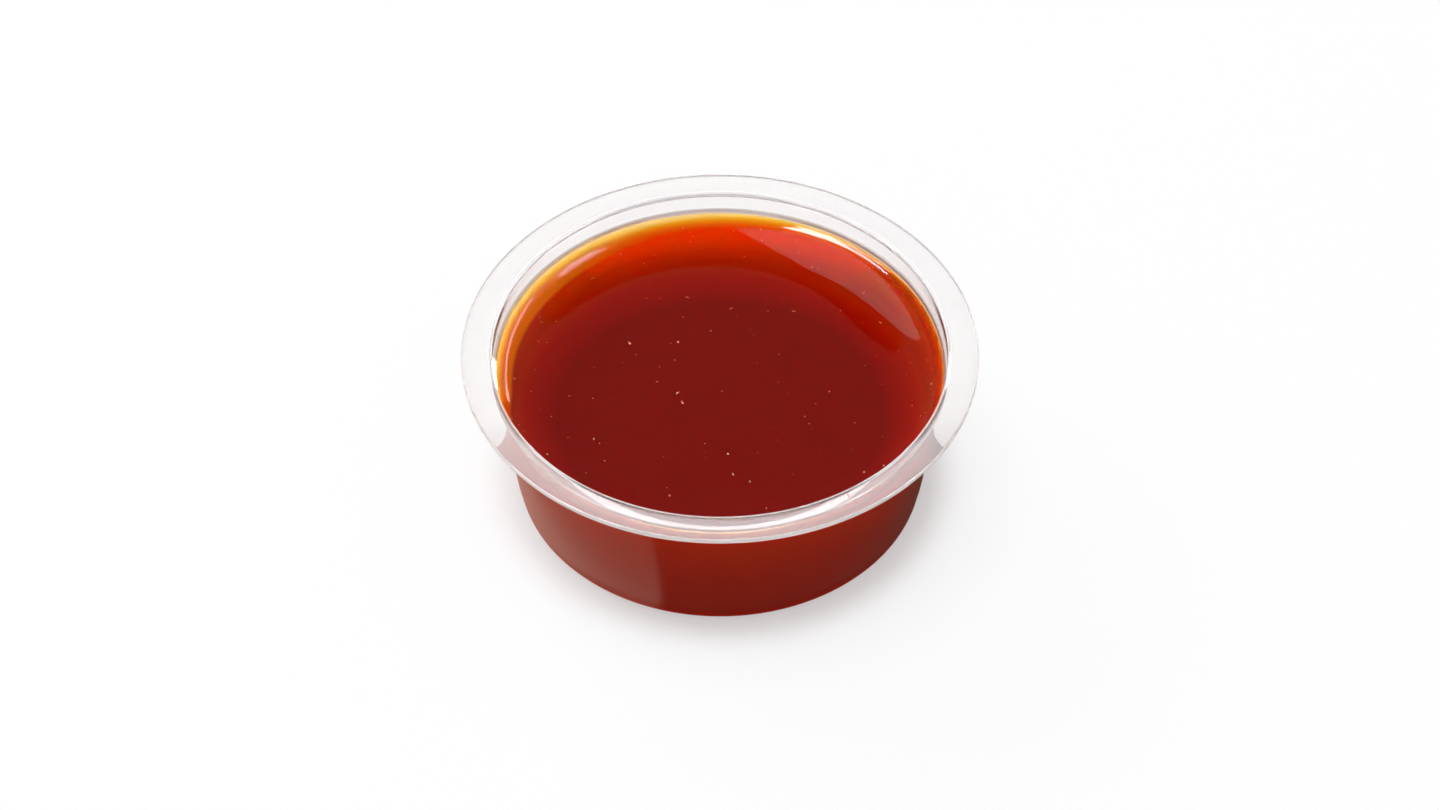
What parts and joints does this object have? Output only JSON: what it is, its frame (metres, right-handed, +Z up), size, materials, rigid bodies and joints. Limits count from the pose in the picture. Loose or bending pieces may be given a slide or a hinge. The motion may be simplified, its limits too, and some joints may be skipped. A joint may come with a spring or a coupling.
{
  "type": "sauce pot",
  "caption": "Round, shallow clear plastic portion pot with a wide flat sealing flange, a sloping wall and a flat bottom, filled with a dark red see-through chilli dipping sauce, with no lid",
  "frame": {"origin": "centre of the pot's underside, on the surface that it stands on", "axes": "+Z is up, along the pot's axis; the pot is round, so +X and +Y are free"},
  "size_m": [0.071, 0.071, 0.0239],
  "materials": {
    "clear_plastic": "clear, slightly milky polypropylene",
    "chilli_sauce": "wet, glossy, see-through dark red liquid"
  },
  "bodies": {
    "root": {"pot": "clear_plastic", "sauce": "chilli_sauce"}
  },
  "joints": []
}
